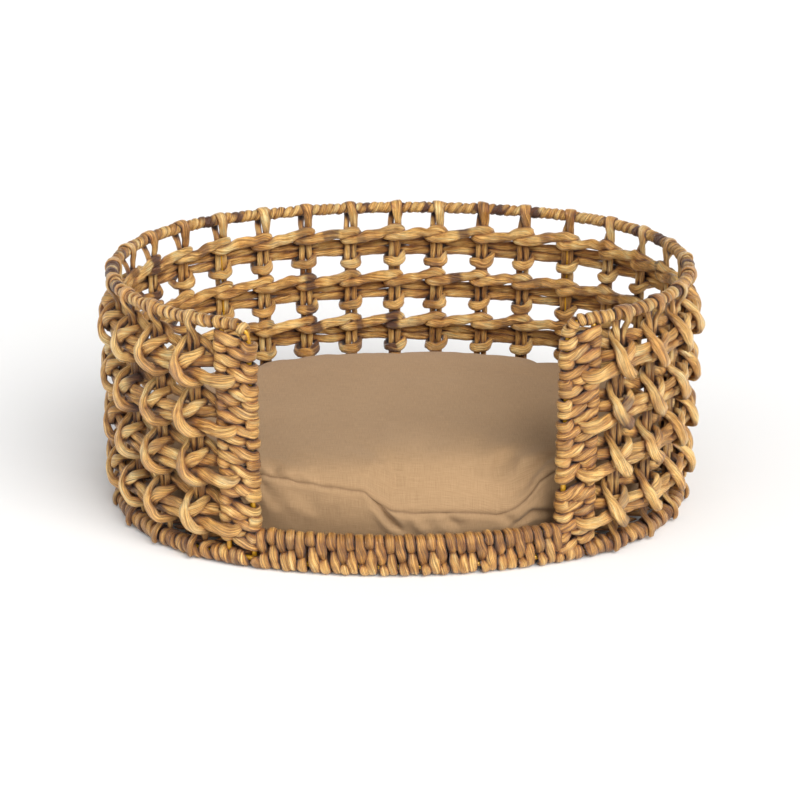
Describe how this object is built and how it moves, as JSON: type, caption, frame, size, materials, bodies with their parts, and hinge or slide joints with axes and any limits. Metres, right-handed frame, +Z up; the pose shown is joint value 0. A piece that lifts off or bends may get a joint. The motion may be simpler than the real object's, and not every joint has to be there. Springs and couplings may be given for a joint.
{
  "type": "wicker pet bed basket",
  "caption": "Low oval wicker basket for a cat or small dog, open at the front over a wrapped sill, with a loose boxed cushion that lifts out.",
  "frame": {"origin": "on the surface it stands on, under the middle of the overall box", "axes": "+X along the long side, +Y towards the back, with the entrance towards -Y, +Z up"},
  "size_m": [0.6104, 0.4392, 0.2592],
  "materials": {
    "hyacinth_strand": "dried water hyacinth strand, lightly twisted, streaked straw and grey-brown, slight sheen",
    "lacquered_rod": "golden yellow lacquer over steel rod",
    "cushion_cloth": "taupe linen-like weave, matt",
    "cushion_filling": "polyester wadding",
    "zip_tape": "woven tape",
    "zip_metal": "satin"
  },
  "bodies": {
    "basket": {"rim_rod": "lacquered_rod", "base_hoop_rod": "lacquered_rod", "sill_rod": "lacquered_rod", "outer_post_rod_left": "lacquered_rod", "outer_post_rod_right": "lacquered_rod", "upright_rod_1": "lacquered_rod", "upright_rod_2": "lacquered_rod", "upright_rod_3": "lacquered_rod", "upright_rod_4": "lacquered_rod", "floor_rod_left": "lacquered_rod", "floor_rod_middle": "lacquered_rod", "floor_rod_right": "lacquered_rod", "rim_wrap": "hyacinth_strand", "base_wrap": "hyacinth_strand", "sill_wrap": "hyacinth_strand", "post_wrap_left": "hyacinth_strand", "post_wrap_right": "hyacinth_strand", "stake_01": "hyacinth_strand", "stake_02": "hyacinth_strand", "stake_03": "hyacinth_strand", "stake_04": "hyacinth_strand", "stake_05": "hyacinth_strand", "stake_06": "hyacinth_strand", "stake_07": "hyacinth_strand", "stake_08": "hyacinth_strand", "stake_09": "hyacinth_strand", "stake_10": "hyacinth_strand", "stake_11": "hyacinth_strand", "stake_12": "hyacinth_strand", "stake_13": "hyacinth_strand", "stake_14": "hyacinth_strand", "stake_15": "hyacinth_strand", "stake_16": "hyacinth_strand", "stake_17": "hyacinth_strand", "stake_18": "hyacinth_strand", "stake_19": "hyacinth_strand", "stake_20": "hyacinth_strand", "stake_21": "hyacinth_strand", "stake_22": "hyacinth_strand", "stake_23": "hyacinth_strand", "stake_24": "hyacinth_strand", "stake_25": "hyacinth_strand", "weft_row_1": "hyacinth_strand", "weft_row_2": "hyacinth_strand", "weft_row_3": "hyacinth_strand", "weft_row_4": "hyacinth_strand", "hitch_row_1": "hyacinth_strand", "hitch_row_2": "hyacinth_strand", "hitch_row_3": "hyacinth_strand", "hitch_row_4": "hyacinth_strand", "floor_mat": "hyacinth_strand"},
    "cushion": {"cushion_top_panel": "cushion_cloth", "cushion_side_band": "cushion_cloth", "cushion_bottom_panel": "cushion_cloth", "cushion_filling": "cushion_filling", "zip_tape": "zip_tape"},
    "zip_slider": {"zip_slider": "zip_metal"}
  },
  "joints": [
    {"name": "cushion_lift", "type": "slide", "parent": "basket", "child": "cushion", "axis": [0, 0, 1], "range_m": [0, 0.3]},
    {"name": "zip_travel", "type": "hinge", "parent": "cushion", "child": "zip_slider", "pos_m": [0, -0.26259, 0.05], "axis": [0, 0, -1], "range_deg": [0, 24]}
  ]
}
